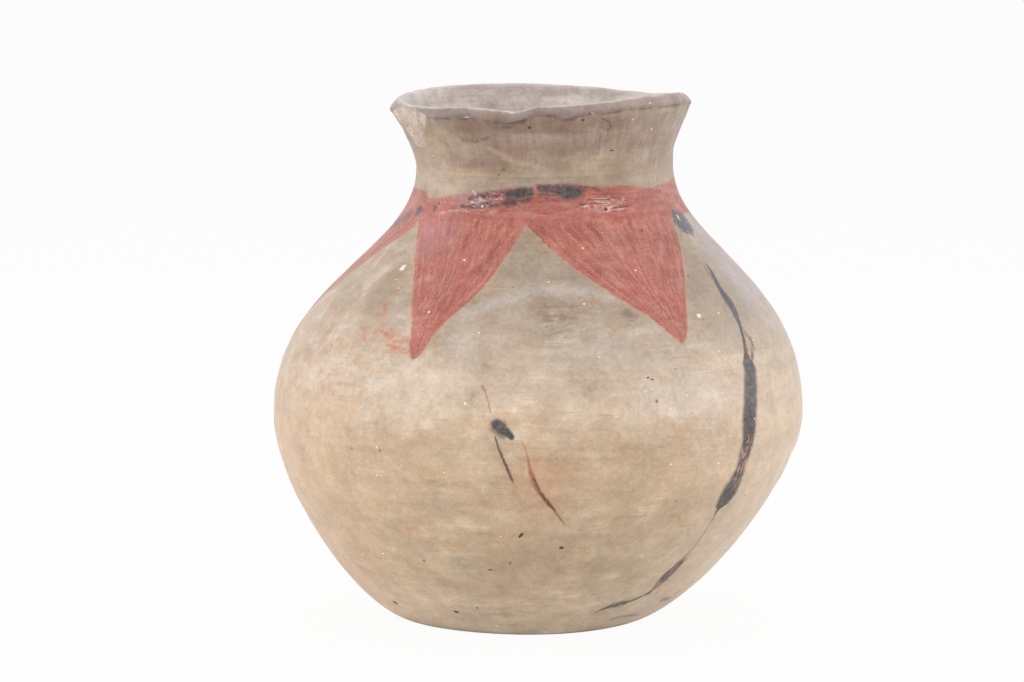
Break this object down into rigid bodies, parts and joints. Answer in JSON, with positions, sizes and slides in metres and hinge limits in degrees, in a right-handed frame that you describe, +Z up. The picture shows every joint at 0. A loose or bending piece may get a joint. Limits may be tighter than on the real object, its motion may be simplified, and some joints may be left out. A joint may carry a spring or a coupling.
{
  "type": "jar",
  "caption": "Hand-built earthenware jar with a round belly, short flaring neck, bevelled lip and small flat foot, painted with a red band and pendant triangles; the rim is chipped.",
  "frame": {"origin": "on the surface the jar stands on, under the middle of the belly", "axes": "+Z up out of the mouth, -Y towards the painted front seen in the picture, +X to the viewer's right"},
  "size_m": [0.241, 0.241, 0.2414],
  "materials": {
    "fired_clay": "burnished satin earthenware with red and black slip"
  },
  "bodies": {
    "root": {"jar": "fired_clay"}
  },
  "joints": []
}
